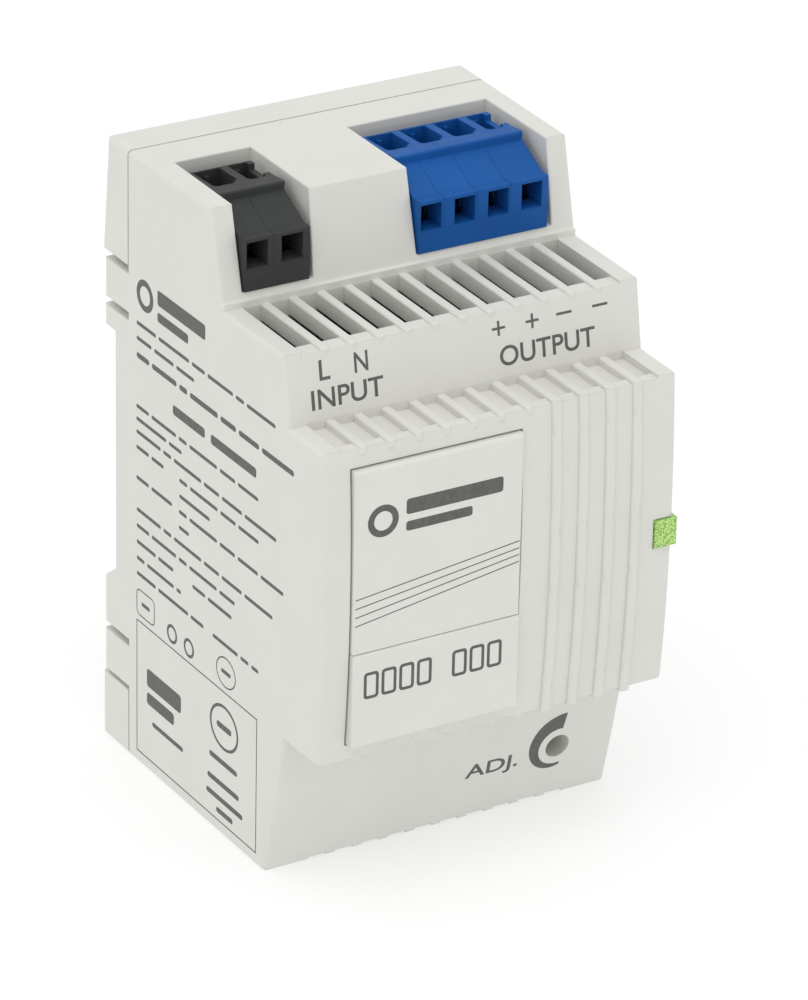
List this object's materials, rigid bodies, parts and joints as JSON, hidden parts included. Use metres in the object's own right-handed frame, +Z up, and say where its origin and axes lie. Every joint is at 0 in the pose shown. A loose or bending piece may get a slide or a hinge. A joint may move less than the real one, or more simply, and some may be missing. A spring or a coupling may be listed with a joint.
{
  "type": "din rail power supply",
  "caption": "Narrow stepped rail-mount power supply with vented shelves, blue and dark spring terminals on top, a snap-in front plate, a green light pipe and a spring-loaded rail foot.",
  "frame": {"origin": "middle of the underside of the whole housing", "axes": "+X across the width, right as seen from the front; +Y from the front towards the rail; +Z up, towards the terminals"},
  "size_m": [0.054, 0.059, 0.089],
  "materials": {
    "housing": "fine textured moulded plastic",
    "foot": "moulded plastic",
    "light_pipe": "clear green plastic with a rough front",
    "terminal_dark": "moulded plastic",
    "terminal_blue": "moulded plastic",
    "tinned_copper": "bright tin plate",
    "board": "solder mask over glass epoxy",
    "sheet": "thin polyester sheet",
    "fuse": "ceramic tube with plated ends",
    "steel": "plated steel",
    "varistor": "dipped epoxy",
    "thermistor": "dipped epoxy",
    "film_capacitor": "moulded box",
    "ferrite": "sintered ferrite",
    "copper": "enamelled copper wire",
    "tape": "polyester tape over the winding",
    "black_plastic": "moulded epoxy",
    "ceramic_capacitor": "dipped epoxy",
    "can_sleeve": "shrink sleeve over an aluminium can",
    "aluminium": "sheared sheet",
    "led": "clear epoxy",
    "trimmer": "moulded plastic",
    "rotor": "moulded plastic"
  },
  "bodies": {
    "housing": {"front_cover": "housing", "rear_base": "housing", "foot_spring": "steel", "label_plate": "housing", "marker_plate": "housing", "led_light_pipe": "light_pipe", "input_terminal_housing": "terminal_dark", "output_terminal_housing": "terminal_blue", "input_busbars": "tinned_copper", "output_busbars": "tinned_copper", "terminal_board": "board", "converter_board": "board", "filter_board": "board", "converter_link": "tinned_copper", "filter_link": "tinned_copper", "insulating_sheet": "sheet", "input_fuse": "fuse", "fuse_clips": "steel", "surge_varistor": "varistor", "inrush_thermistor": "thermistor", "x_capacitor": "film_capacitor", "filter_choke_core": "ferrite", "filter_choke_windings": "copper", "bridge_rectifier": "black_plastic", "y_capacitor": "ceramic_capacitor", "bulk_capacitor": "can_sleeve", "transformer_core": "ferrite", "transformer_bobbin": "black_plastic", "transformer_pins": "tinned_copper", "transformer_winding": "tape", "switching_transistor": "black_plastic", "primary_heat_sink": "aluminium", "output_diode": "black_plastic", "output_heat_sink": "aluminium", "heat_sink_screws": "steel", "output_choke": "ferrite", "optocoupler": "black_plastic", "controller_chip": "black_plastic", "status_led": "led", "trimmer_body": "trimmer", "output_capacitor_1": "can_sleeve", "output_capacitor_2": "can_sleeve", "output_capacitor_3": "can_sleeve"},
    "foot": {"din_foot": "foot"},
    "trimmer": {"trimmer_rotor": "rotor"},
    "input_clamp_1_leaf": {"input_clamp_1": "steel"},
    "input_clamp_2_leaf": {"input_clamp_2": "steel"},
    "output_clamp_1_leaf": {"output_clamp_1": "steel"},
    "output_clamp_2_leaf": {"output_clamp_2": "steel"},
    "output_clamp_3_leaf": {"output_clamp_3": "steel"},
    "output_clamp_4_leaf": {"output_clamp_4": "steel"}
  },
  "joints": [
    {"name": "foot_pull", "type": "slide", "parent": "housing", "child": "foot", "axis": [0, 0, -1], "range_m": [0, 0.004], "stiffness_N_per_m": 500, "springref_m": -0.01, "deforming": ["foot_spring"]},
    {"name": "trimmer_turn", "type": "hinge", "parent": "housing", "child": "trimmer", "pos_m": [0.0175, -0.0105, 0.0084], "axis": [0, -1, 0], "range_deg": [-130, 130]},
    {"name": "input_clamp_1_press", "type": "hinge", "parent": "housing", "child": "input_clamp_1_leaf", "pos_m": [-0.02125, 0.0022, 0.08], "axis": [-1, 0, 0], "range_deg": [0, 18], "stiffness_Nm_per_rad": 0.02, "springref_deg": -17.19},
    {"name": "input_clamp_2_press", "type": "hinge", "parent": "housing", "child": "input_clamp_2_leaf", "pos_m": [-0.01617, 0.0022, 0.08], "axis": [-1, 0, 0], "range_deg": [0, 18], "stiffness_Nm_per_rad": 0.02, "springref_deg": -17.19},
    {"name": "output_clamp_1_press", "type": "hinge", "parent": "housing", "child": "output_clamp_1_leaf", "pos_m": [0.00443, 0.0022, 0.08], "axis": [-1, 0, 0], "range_deg": [0, 18], "stiffness_Nm_per_rad": 0.02, "springref_deg": -17.19},
    {"name": "output_clamp_2_press", "type": "hinge", "parent": "housing", "child": "output_clamp_2_leaf", "pos_m": [0.00951, 0.0022, 0.08], "axis": [-1, 0, 0], "range_deg": [0, 18], "stiffness_Nm_per_rad": 0.02, "springref_deg": -17.19},
    {"name": "output_clamp_3_press", "type": "hinge", "parent": "housing", "child": "output_clamp_3_leaf", "pos_m": [0.01459, 0.0022, 0.08], "axis": [-1, 0, 0], "range_deg": [0, 18], "stiffness_Nm_per_rad": 0.02, "springref_deg": -17.19},
    {"name": "output_clamp_4_press", "type": "hinge", "parent": "housing", "child": "output_clamp_4_leaf", "pos_m": [0.01967, 0.0022, 0.08], "axis": [-1, 0, 0], "range_deg": [0, 18], "stiffness_Nm_per_rad": 0.02, "springref_deg": -17.19}
  ]
}
